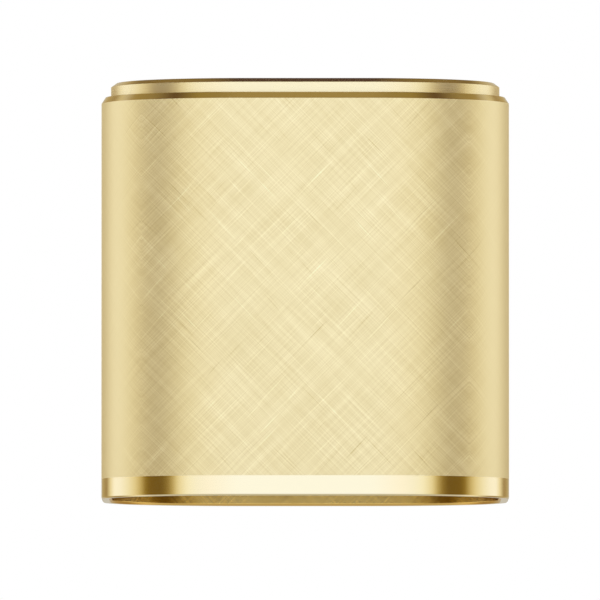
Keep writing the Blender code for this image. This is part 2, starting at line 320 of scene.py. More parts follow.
def dress(mesh, materials):
    """Give a mesh its materials, unless it has them already."""
    if not mesh.materials:
        for made in materials:
            mesh.materials.append(made)


def paint_rows(mesh, columns, materials, choice):
    """Materials by strips of faces: one choice for each row that a strip starts at."""
    dress(mesh, materials)
    index = np.repeat(np.asarray(choice, np.int32), columns)[:len(mesh.polygons)]
    mesh.polygons.foreach_set("material_index", index)


# ---------------------------------------------------------------- node trees

class Graph:
    """Short calls on a node tree. Inputs are sockets or plain values, in order."""

    def __init__(self, tree):
        self.tree = tree

    def feed(self, socket, value):
        if isinstance(value, bpy.types.NodeSocket):
            self.tree.links.new(value, socket)
        elif value is not None:
            socket.default_value = value

    def node(self, kind, named=None, **settings):
        made = self.tree.nodes.new(kind)
        for name, value in settings.items():
            setattr(made, name, value)
        for name, value in (named or {}).items():
            self.feed(made.inputs[name], value)
        return made

    def math(self, operation, *values):
        made = self.node("ShaderNodeMath", operation=operation)
        for socket, value in zip(made.inputs, values):
            self.feed(socket, value)
        return made.outputs[0]

    def vector(self, operation, *values, output=0):
        made = self.node("ShaderNodeVectorMath", operation=operation)
        for socket, value in zip(made.inputs, values):
            self.feed(socket, value)
        return made.outputs[output]

    def join(self, x=0.0, y=0.0, z=0.0):
        """Vector of three values."""
        return self.node("ShaderNodeCombineXYZ", {"X": x, "Y": y, "Z": z}).outputs[0]

    def total(self, start, *terms):
        """Start plus the value times the share of each (value, share) term."""
        for value, share in terms:
            start = self.math("MULTIPLY_ADD", value, share, start)
        return start

    def mix(self, share, first, second):
        """Colour between two others."""
        made = self.node("ShaderNodeMix", data_type="RGBA")
        for index, value in ((0, share), (6, first), (7, second)):
            self.feed(made.inputs[index], value)
        return made.outputs[2]

    def span(self, value, low, high, to_low=0.0, to_high=1.0, kind="LINEAR"):
        """Value stretched from one range to another and held inside it."""
        named = {"Value": value, "From Min": low, "From Max": high, "To Min": to_low, "To Max": to_high}
        return self.node("ShaderNodeMapRange", named, interpolation_type=kind).outputs[0]

    def noise(self, vector, scale=1.0, detail=2.0, roughness=0.5, flat=False):
        """Noise centred on 0, about -1 to 1."""
        named = {"Vector": vector, "Scale": scale, "Detail": detail, "Roughness": roughness}
        made = self.node("ShaderNodeTexNoise", named, noise_dimensions="2D" if flat else "3D")
        return self.math("MULTIPLY_ADD", made.outputs["Fac"], 3.2, -1.6)

    def effect(self, group, output=0, **named):
        """Place a node group, its inputs given by name with _ for spaces."""
        made = self.node("ShaderNodeGroup", node_tree=group)
        for name, value in named.items():
            self.feed(made.inputs[name.replace("_", " ")], value)
        return made.outputs if output is None else made.outputs[output]


def new_effect(name, inputs, outputs):
    """Node group with named sockets: its graph, its input sockets and its end node."""
    tree = bpy.data.node_groups.new(name, "ShaderNodeTree")
    for socket_name, default in inputs.items():
        kind = "NodeSocketVector" if default is None else "NodeSocketFloat"
        socket = tree.interface.new_socket(socket_name, in_out="INPUT", socket_type=kind)
        if default is not None:
            socket.default_value = default
    for socket_name in outputs:
        tree.interface.new_socket(socket_name, in_out="OUTPUT", socket_type="NodeSocketFloat")
    graph = Graph(tree)
    return graph, graph.node("NodeGroupInput").outputs, graph.node("NodeGroupOutput")


def make_streaks():
    """Streaks: noise drawn out into parallel lines, about -1 to 1. The position is turned
    by an angle, then divided by the streaks' length one way and their width the other."""
    inputs = {"Position": None, "Angle": 0.0, "Length": 8 * MM, "Width": 0.3 * MM, "Seed": 0.0}
    graph, given, end = new_effect("streaks", inputs, ["Lines"])
    turned = graph.node("ShaderNodeVectorRotate", {"Vector": given["Position"], "Angle": given["Angle"]},
                        rotation_type="Z_AXIS").outputs[0]
    scaled = graph.vector("DIVIDE", turned, graph.join(given["Length"], given["Width"], 1.0))
    offset = graph.join(given["Seed"], given["Seed"])
    lines = graph.noise(graph.vector("ADD", scaled, offset), detail=3.0, roughness=0.6, flat=True)
    graph.feed(end.inputs["Lines"], lines)
    return graph.tree


def make_cross_hatch():
    """Cross-hatching: two crossing families of fine streaks, gathered into bands, with
    sparse long scratches in both. Light is their brightness, and Height their depth."""
    graph, given, end = new_effect(
        "cross_hatch", {"Position": None, "Line Width": 0.17 * MM, "Scratches": 1.0, "Depth": 1.5e-6},
        ["Light", "Height"])
    sums = []
    for i, angle in enumerate((45, -45)):
        radians = math.radians(angle)
        fine = graph.effect(streaks, Position=given["Position"], Angle=radians, Length=14 * MM,
                            Width=given["Line Width"], Seed=3.7 + 11 * i)
        bands = graph.effect(streaks, Position=given["Position"], Angle=radians, Length=22 * MM,
                             Width=1.3 * MM, Seed=21.3 + 5 * i)
        gathered = graph.math("MULTIPLY", fine, graph.span(bands, -0.8, 0.9, 0.35, 1.25))
        faint = graph.math("MULTIPLY_ADD", bands, 0.22, graph.math("MULTIPLY", gathered, 0.55))
        scratches = graph.effect(streaks, Position=given["Position"], Angle=radians + 0.03 * (1 - 2 * i),
                                 Length=16 * MM, Width=0.42 * MM, Seed=47.1 + 9 * i)
        bright = graph.span(scratches, 0.55, 1.0)
        dark = graph.span(scratches, -0.62, -1.05)
        marks = graph.math("MULTIPLY", graph.math("SUBTRACT", bright, dark), given["Scratches"])
        sums.append(graph.math("ADD", faint, graph.math("MULTIPLY", marks, 1.1)))
    light = graph.math("ADD", *sums)
    graph.feed(end.inputs["Light"], light)
    graph.feed(end.inputs["Height"], graph.math("MULTIPLY", light, given["Depth"]))
    return graph.tree


def make_mottle():
    """Mottle: soft clouds with finer clouds in them, about -1 to 1."""
    graph, given, end = new_effect("mottle", {"Position": None, "Size": 12 * MM}, ["Clouds"])
    scale = graph.math("DIVIDE", 1.0, given["Size"])
    graph.feed(end.inputs["Clouds"], graph.noise(given["Position"], scale, detail=3.0))
    return graph.tree


def make_tarnish():
    """Tarnish: a mask from 0 to 1 of spots with soft borders, fewer as Amount falls."""
    graph, given, end = new_effect("tarnish", {"Position": None, "Size": 5 * MM, "Amount": 0.3}, ["Mask"])
    scale = graph.math("DIVIDE", 1.0, given["Size"])
    clouds = graph.noise(given["Position"], scale, detail=5.0, roughness=0.62)
    start = graph.math("MULTIPLY_ADD", given["Amount"], -2.0, 1.1)
    graph.feed(end.inputs["Mask"], graph.span(clouds, start, graph.math("ADD", start, 0.7)))
    return graph.tree


streaks = make_streaks()
cross_hatch = make_cross_hatch()
mottle = make_mottle()
tarnish = make_tarnish()


# ---------------------------------------------------------------- materials

def new_material(name, roughness, metallic=1.0):
    """Principled material: it, its graph and its shader."""
    made = bpy.data.materials.new(name)
    made.use_nodes = True
    shader = made.node_tree.nodes["Principled BSDF"]
    shader.inputs["Roughness"].default_value = roughness
    shader.inputs["Metallic"].default_value = metallic
    return made, Graph(made.node_tree), shader


def paint(graph, shader, colour, light, rough=(), height=None, swing=(1, 1, 1)):
    """Base colour times (1 + light x swing), the shader's own roughness plus rough, and a
    bump in metres. Light and rough are lists of (value, share) terms that are added up,
    and height is one such term. Gives back the colour."""
    reach = tuple(channel * share for channel, share in zip(colour, swing))
    shade = graph.vector("MULTIPLY_ADD", graph.total(0.0, *light), reach, colour)
    graph.feed(shader.inputs["Base Color"], shade)
    if rough:
        socket = shader.inputs["Roughness"]
        graph.feed(socket, graph.total(socket.default_value, *rough))
    if height:
        emboss(graph, shader, *height)
    return shade


def overlay(graph, shader, shade, mask, share, colour):
    """Second colour over the first, as strong as mask x share."""
    cover = graph.math("MULTIPLY", mask, share)
    graph.feed(shader.inputs["Base Color"], graph.mix(cover, shade, (*colour, 1)))


def emboss(graph, shader, value, depth):
    """Bump whose height is value x depth, in metres."""
    height = graph.math("MULTIPLY", value, depth)
    bump = graph.node("ShaderNodeBump", {"Strength": 1.0, "Distance": 1.0, "Height": height})
    graph.feed(shader.inputs["Normal"], bump.outputs[0])


def surface_position(graph):
    """The piece's own UV map, in metres."""
    return graph.node("ShaderNodeUVMap", uv_map="surface").outputs[0]


def object_position(graph):
    """Place on the piece, in metres."""
    return graph.node("ShaderNodeTexCoord").outputs["Object"]


# Colours, linear
BRASS = (0.90, 0.78, 0.455)
# Paler than BRASS: a painted highlight, the washed-out glare of the polished faces
HIGHLIGHT_PALE_BRASS = (0.94, 0.84, 0.58)
SATIN_BRASS = (0.95, 0.84, 0.55)
# Darker, deeper brass inside the bore: painted shade and brass-on-brass reflection
BORE_SHADE_BRASS = (0.80, 0.56, 0.17)
# Darker, deeper brass on the rim's inner chamfer: painted shade
INNER_CHAMFER_SHADE_BRASS = (0.85, 0.58, 0.19)
DRAWN_BRASS = (0.84, 0.68, 0.36)
WOOL_BRASS = (0.90, 0.69, 0.28)
# The wool core's colours: painted shade of the wool's depths, with dimmer strands in it
WOOL_SHADE = (0.07, 0.042, 0.012)
WOOL_SHADED_STRAND = (0.46, 0.31, 0.10)
RED_TARNISH = (0.62, 0.36, 0.11)
BROWN_TARNISH = (0.42, 0.27, 0.10)
BLACKENED = (0.06, 0.056, 0.052)
BARE_STEEL = (0.40, 0.39, 0.37)
ZINC = (0.30, 0.30, 0.31)
RUBBER = (0.02, 0.02, 0.02)
SILICONE = (0.20, 0.20, 0.21)


def hatched(name, colour, roughness, metallic, contrast, depth, slanted_share):
    """Cross-hatched brass with soft clouds of brightness under the lines. The lines keep
    only a share of their strength where the surface is seen at a slant."""
    made, graph, shader = new_material(name, roughness, metallic)
    where = surface_position(graph)
    hatch = graph.effect(cross_hatch, None, Position=where, Depth=depth)
    clouds = graph.effect(mottle, Position=where, Size=30 * MM)
    slant = graph.node("ShaderNodeLayerWeight", {"Blend": 0.5}).outputs["Facing"]
    shown = graph.span(slant, *SLANT_FADE, 1.0, slanted_share)
    lines = graph.math("MULTIPLY", hatch["Light"], shown)
    light = [(clouds, 0.012), (lines, contrast)]
    paint(graph, shader, colour, light, [(lines, 0.02)], (hatch["Height"], shown), HATCH_SWING)
    return made


def polished(name, colour, roughness, metallic=1.0, length=24 * MM, width=0.12 * MM, depth=0.25e-6):
    """Polished or turned brass: faint lines along the cut and soft clouds."""
    made, graph, shader = new_material(name, roughness, metallic)
    where = surface_position(graph)
    lines = graph.effect(streaks, Position=where, Length=length, Width=width)
    clouds = graph.effect(mottle, Position=where, Size=9 * MM)
    light = [(clouds, 0.008), (lines, 0.012)]
    paint(graph, shader, colour, light, [(clouds, 0.015), (lines, 0.02)], (lines, depth))
    return made


def drawn(name, colour, roughness, amount):
    """Drawn or plainly turned brass: rings round it, clouds, and browner tarnish spots."""
    made, graph, shader = new_material(name, roughness)
    rings = graph.effect(streaks, Position=surface_position(graph), Length=60 * MM, Width=0.35 * MM)
    clouds = graph.effect(mottle, Position=object_position(graph), Size=14 * MM)
    spots = graph.effect(tarnish, Position=object_position(graph), Amount=amount)
    light = [(clouds, 0.05), (rings, 0.03)]
    shade = paint(graph, shader, colour, light, [(rings, 0.035), (spots, 0.22)], (rings, 1.2e-6))
    overlay(graph, shader, shade, spots, 0.75, BROWN_TARNISH)
    return made


def wool_ribbon():
    """Turned ribbon: lines along it, each strand a little lighter or darker, redder spots."""
    made, graph, shader = new_material("wool_brass", 0.24)
    where = surface_position(graph)
    lines = graph.effect(streaks, Position=where, Length=6 * MM, Width=0.09 * MM)
    strand = graph.effect(streaks, Position=where, Length=90 * MM, Width=9 * MM, Seed=5.0)
    spots = graph.effect(tarnish, Position=object_position(graph), Size=3 * MM, Amount=0.28)
    light = [(strand, 0.10), (lines, 0.05)]
    shade = paint(graph, shader, WOOL_BRASS, light, [(spots, 0.12), (lines, 0.05)], (lines, 2e-6))
    overlay(graph, shader, shade, spots, 0.45, RED_TARNISH)
    return made


def wool_depths():
    """Inside of the wool: painted shade of its depths, dark brass crossed by lighter strands, still painted
    in shade, at many angles.
    """
    made, graph, shader = new_material("wool_core", 0.55, 0.8)
    where = object_position(graph)
    clouds = graph.node("ShaderNodeTexNoise", {"Vector": where, "Scale": 260.0}).outputs["Color"]
    push = graph.node("ShaderNodeVectorMath", {"Vector": clouds, "Scale": 2.2 * MM}, operation="SCALE")
    bent = graph.vector("ADD", where, push.outputs[0])
    masks = []
    for i, angle in enumerate((0.3, 1.4, 2.5)):
        lines = graph.effect(streaks, Position=bent, Angle=angle, Length=7 * MM, Width=0.7 * MM,
                             Seed=7.0 * i)
        masks.append(graph.span(lines, 0.1, 0.7))
    strands = graph.math("MAXIMUM", graph.math("MAXIMUM", masks[0], masks[1]), masks[2])
    graph.feed(shader.inputs["Base Color"], graph.mix(strands, (*WOOL_SHADE, 1), (*WOOL_SHADED_STRAND, 1)))
    emboss(graph, shader, strands, 0.15 * MM)
    return made


def black_plate():
    """Blackened steel: ground lines across, clouds, and bare steel round the holes, where
    the distance from a post's middle equals the countersink's radius."""
    made, graph, shader = new_material("blackened_steel", 0.42)
    where = object_position(graph)
    lines = graph.effect(streaks, Position=where, Length=18 * MM, Width=0.2 * MM)
    clouds = graph.effect(mottle, Position=where, Size=10 * MM)
    hole = (abs(POSTS[0][0]), abs(POSTS[0][1]), 0)
    aside = graph.vector("SUBTRACT", graph.vector("ABSOLUTE", where), hole)
    radius = graph.vector("LENGTH", graph.vector("MULTIPLY", aside, (1, 1, 0)), output="Value")
    ring = graph.math("COMPARE", radius, COUNTERSINK_RADIUS, 0.12 * MM)
    worn = graph.span(clouds, -0.6, 0.5, 0.2, 0.8)
    light = [(clouds, 0.22), (lines, 0.16)]
    shade = paint(graph, shader, BLACKENED, light, [(clouds, 0.06), (lines, 0.05)], (lines, 1.5e-6))
    overlay(graph, shader, shade, ring, worn, BARE_STEEL)
    return made


def zinc_screw():
    """Dark zinc: clouds, and faint rings from turning."""
    made, graph, shader = new_material("screw_steel", 0.34)
    rings = graph.effect(streaks, Position=surface_position(graph), Length=9 * MM, Width=0.11 * MM)
    clouds = graph.effect(mottle, Position=object_position(graph), Size=2.2 * MM)
    paint(graph, shader, ZINC, [(clouds, 0.14), (rings, 0.10)], [(clouds, 0.07)], (rings, 1.2e-6))
    return made


def soft_rubber(name, colour, roughness):
    """Moulded rubber: fine grain and soft clouds."""
    made, graph, shader = new_material(name, roughness, 0.0)
    where = object_position(graph)
    grain = graph.effect(mottle, Position=where, Size=0.25 * MM)
    clouds = graph.effect(mottle, Position=where, Size=6 * MM)
    paint(graph, shader, colour, [(clouds, 0.15), (grain, 0.12)], [(clouds, 0.06)], (grain, 4e-6))
    return made


HATCH_ROUGHNESS = 0.36
HATCH_METALLIC = 0.55
HATCH_SWING = (0.8, 1.0, 1.6)      # dark lines are browner, light ones paler
SLANT_FADE = (0.27, 0.47)          # Facing values between which the lines fade
hatched_brass = hatched("hatched_brass", BRASS, HATCH_ROUGHNESS, HATCH_METALLIC, 0.25, 16e-6, 0.12)
# The bore's darker, deeper brass is painted shade.
hatched_bore_shade = hatched("hatched_bore_shade", BORE_SHADE_BRASS, 0.18, 1.0, 0.30, 12e-6, 1.0)
# The polished faces' paler colour is a painted highlight.
polished_brass_and_highlight = polished("polished_brass_and_highlight", HIGHLIGHT_PALE_BRASS, 0.14)
chamfer_brass = polished("chamfer_brass", HIGHLIGHT_PALE_BRASS, 0.16)
# The inner chamfer's darker brass is painted shade.
inner_chamfer_shade = polished("inner_chamfer_shade", INNER_CHAMFER_SHADE_BRASS, 0.22)
satin_brass = polished("satin_brass", SATIN_BRASS, 0.28, 0.78, 40 * MM, 0.18 * MM, 0.6e-6)
drawn_brass = drawn("drawn_brass", DRAWN_BRASS, 0.27, 0.12)
turned_brass = drawn("turned_brass", DRAWN_BRASS, 0.30, 0.22)
wool_brass = wool_ribbon()
wool_core_shade = wool_depths()
blackened_steel = black_plate()
screw_steel = zinc_screw()
black_rubber = soft_rubber("black_rubber", RUBBER, 0.62)
grey_silicone = soft_rubber("grey_silicone", SILICONE, 0.5)


# ---------------------------------------------------------------- housing

def make_sleeve():
    """Closed outline of the sleeve, from the rim up the outside and down the bore."""
    outline = soften([
        (HALF - RIM_CHAMFER, 0, 0.05 * MM),
        (HALF, RIM_CHAMFER, 0.05 * MM),
        (HALF, BAND_TOP, 0),
        (HALF, SHOULDER_Z - SHOULDER_RISE),
        (HALF - SHOULDER_WIDTH, SHOULDER_Z),
        (NECK_HALF + FIT_GAP, SHOULDER_Z),
        (NECK_HALF + FIT_GAP, REGISTER_Z),
        (UPPER_BORE, REGISTER_Z),
        (UPPER_BORE, PLATE_TOP + FIT_GAP),
        (RIM_BORE, PLATE_TOP + FIT_GAP),
        (RIM_BORE, RIM_INNER_CHAMFER),
        (RIM_BORE + RIM_INNER_CHAMFER, 0),
    ], closed=True)
    columns = plain_columns()
    spine, outward = path_at(columns)
    x, y = (spine + CORNER_RADIUS * outward).T
    across = np.where(abs(y) >= abs(x), -np.sign(y) * x, np.sign(-x) * y)
    mesh = skin("sleeve", square_rows(outline, columns), True, np.append(across, across[0]), outline[:, 1])
    following = np.roll(outline, -1, axis=0)
    reach, height = ((outline + following) / 2).T
    outside = (reach > HALF - 0.01 * MM) & (height > BAND_TOP) & (height < SHOULDER_Z - SHOULDER_RISE)
    inside = (reach < RIM_BORE + 0.01 * MM) & (height > RIM_INNER_CHAMFER)
    inner_chamfer = (reach < HALF - RIM_CHAMFER - 0.95 * MM) & (height <= RIM_INNER_CHAMFER)
    # Paler brass on the polished faces is a painted highlight; the darker brass of the bore and the rim's
    # inner chamfer is painted shade.
    finishes_and_painted_light = [polished_brass_and_highlight, hatched_brass, hatched_bore_shade, inner_chamfer_shade]
    paint_rows(mesh, len(columns), finishes_and_painted_light, outside * 1 + inside * 2 + inner_chamfer * 3)
    add_piece("sleeve", mesh, "housing", finishes_and_painted_light, ["outer_sleeve"])


def pocket_columns():
    """Distances of the collar's columns: the plain ones, but in front of each nail pocket
    even steps round the pocket's own arc. Bearings are matched by interpolation."""
    fine = np.linspace(0, 4 * SIDE_LENGTH, 20001)
    spine, outward = path_at(fine[:-1])
    edge = spine + CORNER_RADIUS * outward
    bearing = np.unwrap(np.arctan2(edge[:, 1], edge[:, 0]))
    plain = plain_columns()
    half_span = 2 * math.asin(POCKET_RADIUS / 2 / MOUTH_TOP_RADIUS)
    end_angle = math.pi / 2 + half_span / 2
    swing = np.linspace(-end_angle, end_angle, 33)
    arc = np.arctan2(POCKET_RADIUS * np.sin(swing), MOUTH_TOP_RADIUS + POCKET_RADIUS * np.cos(swing))
    margin = 0.3 * MM
    pockets = []
    for corner in (1, 3):
        diagonal = (corner * 2 + 3) * math.pi / 4
        pocket = np.interp(diagonal + arc, bearing, fine[:-1])
        plain = plain[(plain < pocket[0] - margin) | (plain > pocket[-1] + margin)]
        pockets.append(pocket)
    return np.sort(np.concatenate([plain] + pockets))


def mouth_reach(directions):
    """Reach of the mouth's edge: its own radius, or the far side of a nail pocket's circle
    where that is further out."""
    bearing = np.arctan2(directions[:, 1], directions[:, 0])
    off = (bearing - math.pi / 4 + math.pi / 2) % math.pi - math.pi / 2
    inside = POCKET_RADIUS ** 2 - (MOUTH_TOP_RADIUS * np.sin(off)) ** 2
    far = MOUTH_TOP_RADIUS * np.cos(off) + np.sqrt(np.maximum(inside, 0))
    return np.where(inside > 0, np.maximum(far, MOUTH_TOP_RADIUS), MOUTH_TOP_RADIUS)


def make_collar():
    """Square outside and round inside with two nail pockets, joined by flat faces. Each
    inner row lies at its reach along the column's direction, and the pocket's floor rows
    shrink to nothing where there is no pocket."""
    columns = pocket_columns()
    outside = soften([
        (PLUG_HALF - 0.4 * MM, COLLAR_LOW, 0),
        (PLUG_HALF, COLLAR_LOW),
        (PLUG_HALF, GROOVE_Z),
        (GROOVE_HALF, GROOVE_Z),
        (GROOVE_HALF, GROOVE_Z + GROOVE_HEIGHT),
        (PLUG_HALF, GROOVE_Z + GROOVE_HEIGHT),
        (PLUG_HALF, REGISTER_Z + FIT_GAP),
        (NECK_HALF, REGISTER_Z + FIT_GAP),
        (NECK_HALF, COLLAR_TOP - NECK_CHAMFER_RISE),
        (NECK_HALF - NECK_CHAMFER_WIDTH, COLLAR_TOP),
        (NECK_HALF - NECK_CHAMFER_WIDTH - 0.2 * MM, COLLAR_TOP, 0),
    ])
    spine, outward = path_at(columns)
    edge = spine + CORNER_RADIUS * outward
    direction = edge / np.linalg.norm(edge, axis=1)[:, None]
    reach = mouth_reach(direction)
    wall = reach[:, None] * direction
    ahead = np.roll(wall, -1, axis=0) - np.roll(wall, 1, axis=0)
    ahead /= np.linalg.norm(ahead, axis=1)[:, None]
    into_land = np.stack([ahead[:, 1], -ahead[:, 0]], axis=1)
    rows, heights = [], []

    def row_by_land(offset, height):
        rows.append(wall + offset * into_land)
        heights.append(height)

    def row_by_reach(row_reach, height):
        rows.append(row_reach[:, None] * direction)
        heights.append(height)

    lip = 0.15 * MM
    row_by_land(lip + SUPPORT, COLLAR_TOP)
    for angle in np.linspace(0, math.pi / 2, 5):
        row_by_land(lip * (1 - math.sin(angle)), COLLAR_TOP - lip * (1 - math.cos(angle)))
    floor_z = COLLAR_TOP - POCKET_DEPTH
    depth = reach - MOUTH_TOP_RADIUS
    bend = np.minimum(0.6 * MM, 0.4 * depth)
    for angle in np.linspace(0, math.pi / 2, 6):
        row_by_reach(reach - bend * (1 - math.cos(angle)), floor_z + 0.6 * MM * (1 - math.sin(angle)))
    floor_steps = 4
    floor_drop = 0.01 * MM
    lip_share = np.minimum(0.12 * MM, 0.3 * depth)
    far, near = reach - bend, MOUTH_TOP_RADIUS + lip_share
    for step in range(1, floor_steps + 1):
        share = step / floor_steps
        row_by_reach(far + (near - far) * share, floor_z - floor_drop * step)
    low_z = floor_z - floor_drop * floor_steps
    for angle in np.linspace(math.pi / 8, math.pi / 2, 4):
        row_by_reach(MOUTH_TOP_RADIUS + lip_share * (1 - math.sin(angle)),
                     low_z - 0.12 * MM * (1 - math.cos(angle)) - floor_drop)
    inside = soften([
        (MOUTH_TOP_RADIUS, SEAT_Z + 0.3 * MM, 0),
        (MOUTH_TOP_RADIUS, SEAT_Z),
        (MOUTH_RADIUS, SEAT_Z),
        (MOUTH_RADIUS, COLLAR_LOW),
        (MOUTH_RADIUS + 0.4 * MM, COLLAR_LOW, 0),
    ])
    mouth = at_heights(np.array(rows), np.array(heights))
    seat = at_heights(inside[:, 0][:, None, None] * direction[None], inside[:, 1])
    grid = np.concatenate([square_rows(outside, columns), mouth, seat])
    along = np.concatenate([outside[:, 1], heights, inside[:, 1]])
    mesh = skin("collar", grid, True, np.append(columns, 4 * SIDE_LENGTH), along)
    half_way = (outside[:-1] + outside[1:]) / 2
    chamfer = (half_way[:, 1] > COLLAR_TOP - NECK_CHAMFER_RISE) & (half_way[:, 1] < COLLAR_TOP - 0.002 * MM)
    choice = np.zeros(len(grid), int)
    choice[:len(chamfer)] = chamfer
    # The chamfer's paler brass is a painted highlight.
    finishes_and_painted_light = [satin_brass, chamfer_brass]
    paint_rows(mesh, len(columns), finishes_and_painted_light, choice)
    hole = np.array([(HOLE_RADIUS, COLLAR_LOW - MM), (HOLE_RADIUS, COLLAR_LOW + STUD_LENGTH)])
    carved = carve(mesh, [skin("hole", round_rows(hole, SMALL_STEPS, post)) for post in POSTS])
    add_piece("collar", carved, "housing", finishes_and_painted_light, ["top_collar"], 40)


def make_rings():
    """Rubber ring of round section in the plug's groove, and the cup's flat seat ring."""
    angles = round_angles(20)
    middle_half = UPPER_BORE - FIT_GAP - O_RING_RADIUS
    middle_z = GROOVE_Z + GROOVE_HEIGHT / 2
    section = np.stack([middle_half + O_RING_RADIUS * np.cos(angles),
                        middle_z + O_RING_RADIUS * np.sin(angles)], axis=1)
    columns = plain_columns()
    mesh = skin("o_ring", square_rows(section, columns), True, np.append(columns, 4 * SIDE_LENGTH))
    add_piece("o_ring", mesh, "housing", [black_rubber], ["collar_o_ring"])
    inner = MOUTH_RADIUS + FIT_GAP
    flat_ring = soften([
        (inner, RING_LOW, 0.2 * MM),
        (FLANGE_RADIUS, RING_LOW, 0.2 * MM),
        (FLANGE_RADIUS, RING_TOP, 0.2 * MM),
        (inner, RING_TOP, 0.2 * MM),
    ], closed=True)
    mesh = skin("seat_ring", round_rows(flat_ring), True)
    add_piece("seat_ring", mesh, "housing", [grey_silicone], ["cup_seat_ring"])


def make_plate():
    """Rounded-square plate with soft edges and four countersunk holes with broken lips."""
    outline = soften([
        (PLATE_HALF - MM, PLATE_LOW, 0),
        (PLATE_HALF, PLATE_LOW, 0.25 * MM),
        (PLATE_HALF, PLATE_TOP, 0.25 * MM),
        (PLATE_HALF - MM, PLATE_TOP, 0),
    ])
    columns = plain_columns()
    plate = skin("plate", square_rows(outline, columns), False, np.append(columns, 4 * SIDE_LENGTH))
    wide = HEAD_RADIUS + 0.1 * MM + FIT_GAP * math.sqrt(2)
    hole = np.array([
        (wide + 0.2 * MM + MM, PLATE_LOW - MM),
        (wide + 0.2 * MM, PLATE_LOW),
        (wide - 0.1 * MM, PLATE_LOW + 0.1 * MM),
        (HOLE_RADIUS, PLATE_LOW + wide - HOLE_RADIUS),
        (HOLE_RADIUS, PLATE_TOP + MM),
    ])
    carved = carve(plate, [skin("hole", round_rows(hole, 64, post)) for post in POSTS])
    add_piece("plate", carved, "housing", [blackened_steel], ["base_plate"], 30)


def threaded(low, high, centre, angles):
    """Rows of a thread: radius falls from the crest by a triangle wave of
    (height / pitch - angle / turn), and fades out over one pitch at both ends."""
    steps = int(round((high - low) / THREAD_PITCH * 6))
    z = np.linspace(low, high, steps + 1)[:, None]
    phase = (z / THREAD_PITCH - angles[None] / TAU) % 1.0
    wave = np.abs(2 * phase - 1)
    fade = np.clip(np.minimum(z - low, high - z) / THREAD_PITCH, 0, 1)
    radius = STUD_RADIUS - THREAD_DEPTH * wave * fade
    x = centre[0] + radius * np.cos(angles)
    y = centre[1] + radius * np.sin(angles)
    return np.stack([x, y, np.broadcast_to(z, x.shape)], axis=2)


def ring_rows(outline, centre, angles):
    """Rows of (reach, height) round a centre, where a reach may change round the ring."""
    reaches, heights = zip(*outline)
    reach = np.stack([np.broadcast_to(r, angles.shape) for r in reaches])
    x = centre[0] + reach * np.cos(angles)
    y = centre[1] + reach * np.sin(angles)
    return np.stack([x, y, np.broadcast_to(np.array(heights)[:, None], x.shape)], axis=2)


POST_BREAK = 0.2 * MM              # broken edges of a post's bore and faces
POST_TURNED = 0.25 * MM
DRILL_CONE = 0.8 * MM
TIP_BREAK = 0.3 * MM
TIP_HOLE = 0.3 * MM


def make_posts():
    """Hexagonal posts: blind bore below, faces turned off at both ends, threaded stud."""
    angles = round_angles(SMALL_STEPS)
    hexagon = hexagon_reach(HEX_FLATS, angles)
    turned_off = np.minimum(hexagon, HEX_FLATS / 2 + 0.02 * MM)
    top = POST_HIGH - STUD_LENGTH
    bore_end = SCREW_HIGH + FIT_GAP
    outline = [
        (TIP_HOLE, bore_end + DRILL_CONE),
        (HOLE_RADIUS, bore_end),
        (HOLE_RADIUS, POST_LOW + POST_BREAK),
        (HOLE_RADIUS + POST_BREAK, POST_LOW),
        (turned_off, POST_LOW),
        (hexagon, POST_LOW + POST_TURNED),
        (hexagon, top - POST_TURNED),
        (turned_off, top),
        (STUD_RADIUS + 0.05 * MM, top),
    ]
    tip_outline = [(STUD_RADIUS - TIP_BREAK, POST_HIGH), (TIP_HOLE, POST_HIGH)]
    for i, post in enumerate(POSTS, 1):
        lower = ring_rows(outline, post, angles)
        stud = threaded(top + 0.05 * MM, POST_HIGH - TIP_BREAK, post, angles)
        tip = ring_rows(tip_outline, post, angles)
        mesh = skin(f"post_{i}", np.concatenate([lower, stud, tip]))
        add_piece(f"post_{i}", mesh, "housing", [turned_brass], [f"standoff_{i}"], 25)


SCREW_TIP_BREAK = 0.35 * MM
THREAD_START = 1.6 * MM            # above the head's face


def make_screws():
    """Countersunk screws, heads down: hexagonal socket, flat face, cone and thread."""
    angles = round_angles(SMALL_STEPS)
    hexagon = hexagon_reach(SOCKET_FLATS, angles, 0.03)
    mouth = SOCKET_FLATS / 2 / math.cos(math.pi / 6) + 0.12 * MM
    neck = SCREW_LOW + HEAD_RADIUS - STUD_RADIUS
    outline = [
        (0.1 * MM, SCREW_LOW + SOCKET_DEPTH + 0.3 * MM),
        (hexagon, SCREW_LOW + SOCKET_DEPTH),
        (hexagon, SCREW_LOW + 0.14 * MM),
        (mouth, SCREW_LOW),
        (HEAD_RADIUS - 0.12 * MM, SCREW_LOW),
        (HEAD_RADIUS - 0.04 * MM, SCREW_LOW + 0.04 * MM),
        (HEAD_RADIUS - 0.03 * MM, SCREW_LOW + 0.12 * MM),
        (STUD_RADIUS + 0.08 * MM, neck),
        (STUD_RADIUS, neck + 0.2 * MM),
    ]
    tip_outline = [(STUD_RADIUS - SCREW_TIP_BREAK, SCREW_HIGH), (TIP_HOLE, SCREW_HIGH)]
    for i, post in enumerate(POSTS, 1):
        head = ring_rows(outline, post, angles)
        thread = threaded(SCREW_LOW + THREAD_START, SCREW_HIGH - SCREW_TIP_BREAK, post, angles)
        tip = ring_rows(tip_outline, post, angles)
        mesh = skin(f"screw_{i}", np.concatenate([head, thread, tip]))
        add_piece(f"screw_{i}", mesh, "housing", [screw_steel], [f"base_screw_{i}"], 30)


